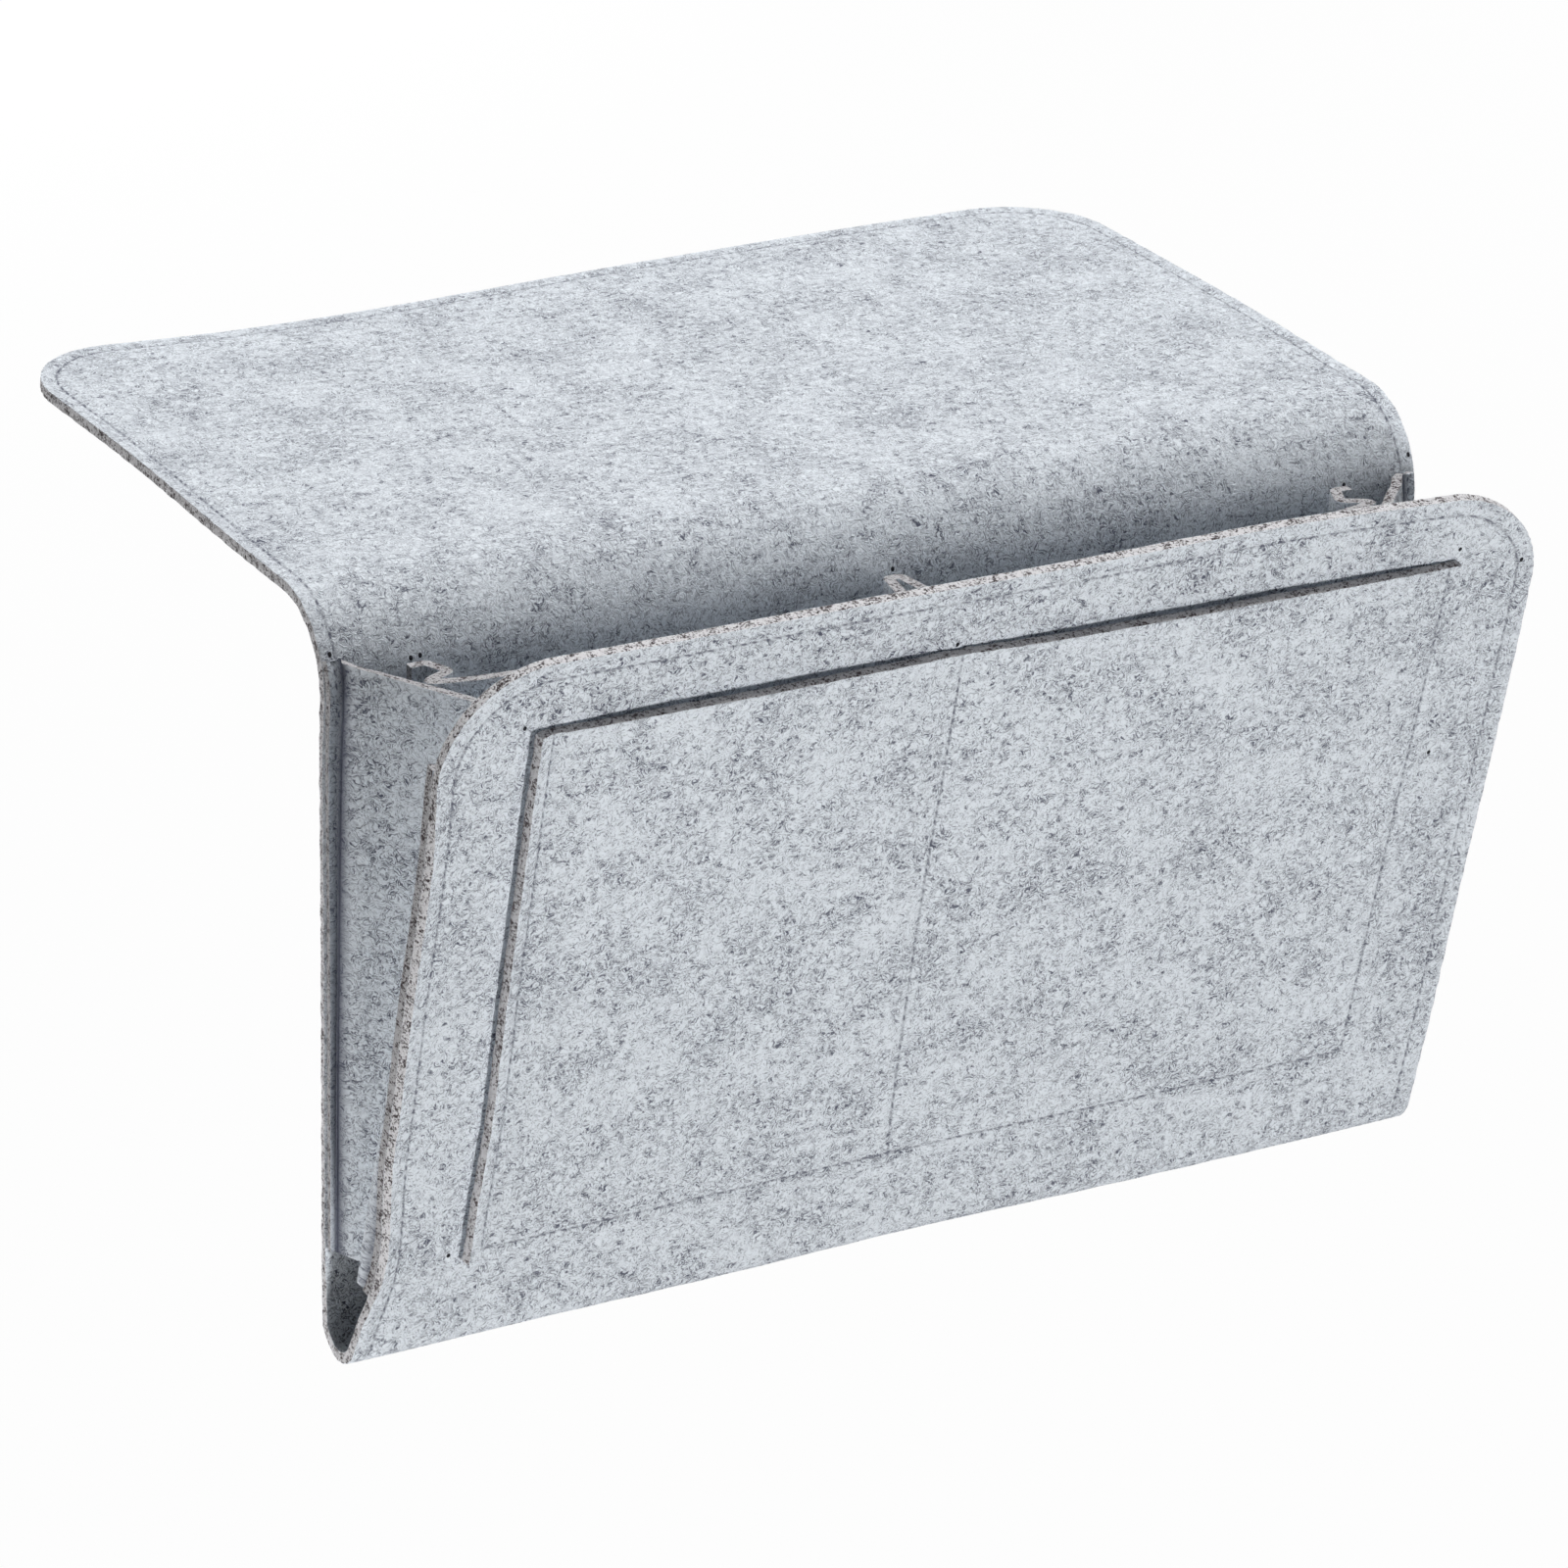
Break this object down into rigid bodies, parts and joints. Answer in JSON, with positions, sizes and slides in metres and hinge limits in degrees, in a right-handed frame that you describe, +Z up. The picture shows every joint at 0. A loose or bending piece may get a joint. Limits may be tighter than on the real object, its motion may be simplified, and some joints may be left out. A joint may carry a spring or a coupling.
{
  "type": "bedside caddy",
  "caption": "Grey felt bedside caddy: a flat flap tucks under the mattress and carries an open hanging pocket with pleated sides, a sewn front pocket and an inner pouch.",
  "frame": {"origin": "centre of the flat underside of the flap, which rests on the bed base under the mattress", "axes": "+X along the bed side, +Y under the mattress, +Z up"},
  "size_m": [0.32, 0.2528, 0.2122],
  "materials": {
    "grey_felt": "matt light-grey melange felt",
    "pale_thread": "fine pale-grey sewing thread"
  },
  "bodies": {
    "flap": {"flap_panel": "grey_felt", "flap_edge_seam": "pale_thread"},
    "back": {"back_panel": "grey_felt", "inner_pouch": "grey_felt", "pouch_edge_seam": "pale_thread", "pouch_centre_seam": "pale_thread", "left_rear_flange": "grey_felt", "right_rear_flange": "grey_felt", "left_rear_seam": "pale_thread", "right_rear_seam": "pale_thread"},
    "front": {"front_panel": "grey_felt", "front_edge_seam": "pale_thread", "left_front_flange": "grey_felt", "right_front_flange": "grey_felt", "patch_pocket": "grey_felt", "patch_edge_seam": "pale_thread", "patch_centre_seam": "pale_thread"},
    "left_rear_wall": {"left_rear_pleat": "grey_felt"},
    "right_rear_wall": {"right_rear_pleat": "grey_felt"},
    "left_front_wall": {"left_front_pleat": "grey_felt"},
    "right_front_wall": {"right_front_pleat": "grey_felt"}
  },
  "joints": [
    {"name": "flap_fold", "type": "hinge", "parent": "flap", "child": "back", "pos_m": [0, -0.09791, -0.00509], "axis": [1, 0, 0], "range_deg": [-90, 90], "stiffness_Nm_per_rad": 0.5, "springref_deg": -4.77},
    {"name": "front_fold", "type": "hinge", "parent": "back", "child": "front", "pos_m": [0, -0.1125, -0.2005], "axis": [1, 0, 0], "range_deg": [-9, 3], "stiffness_Nm_per_rad": 0.3, "springref_deg": -4.74},
    {"name": "left_rear_fold", "type": "hinge", "parent": "back", "child": "left_rear_wall", "pos_m": [-0.1532, -0.1078, -0.1], "axis": [0, 0, 1], "range_deg": [-10.5, 31.5]},
    {"name": "right_rear_fold", "type": "hinge", "parent": "back", "child": "right_rear_wall", "pos_m": [0.1532, -0.1078, -0.1], "axis": [0, 0, 1], "range_deg": [-31.5, 10.5]},
    {"name": "left_front_fold", "type": "hinge", "parent": "front", "child": "left_front_wall", "pos_m": [-0.1532, -0.11707, -0.1936], "axis": [0, -0.2334, 0.9724], "range_deg": [-31.5, 10.5]},
    {"name": "right_front_fold", "type": "hinge", "parent": "front", "child": "right_front_wall", "pos_m": [0.1532, -0.11707, -0.1936], "axis": [0, -0.2334, 0.9724], "range_deg": [-10.5, 31.5]}
  ],
  "couplings": [
    {"joint": "left_rear_fold", "follows": "front_fold", "ratio": -3.5},
    {"joint": "right_rear_fold", "follows": "front_fold", "ratio": 3.5},
    {"joint": "left_front_fold", "follows": "front_fold", "ratio": 3.5},
    {"joint": "right_front_fold", "follows": "front_fold", "ratio": -3.5}
  ]
}
